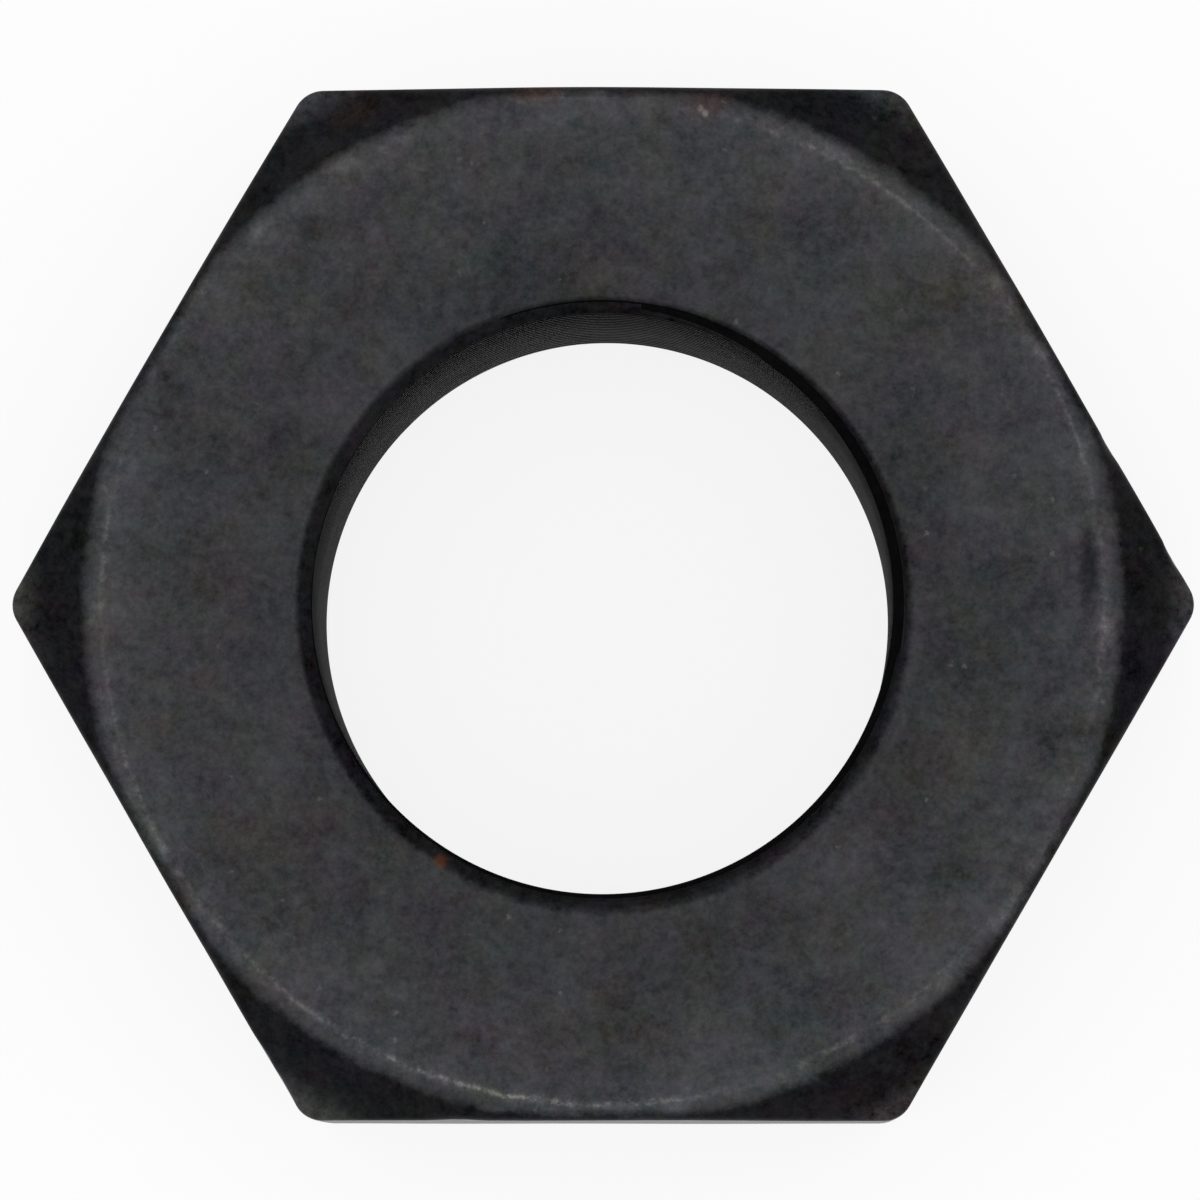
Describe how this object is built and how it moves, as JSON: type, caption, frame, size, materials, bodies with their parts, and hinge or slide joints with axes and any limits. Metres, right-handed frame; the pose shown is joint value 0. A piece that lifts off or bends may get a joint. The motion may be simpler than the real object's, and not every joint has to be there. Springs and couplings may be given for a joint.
{
  "type": "hex nut",
  "caption": "Heavy hexagon nut with a threaded through bore, round bearing faces and chamfered corners at both ends; screws onto a bolt or stud.",
  "frame": {"origin": "centre of the lower bearing face, on the thread axis", "axes": "+Z along the thread axis, up out of the upper bearing face; +X through a corner of the hexagon; +Y through the middle of a flat"},
  "size_m": [0.047, 0.041, 0.02],
  "materials": {
    "black_oxide_steel": "black oxide over turned and drawn steel, satin, slightly worn edges"
  },
  "bodies": {
    "root": {"hex_nut": "black_oxide_steel"}
  },
  "joints": []
}
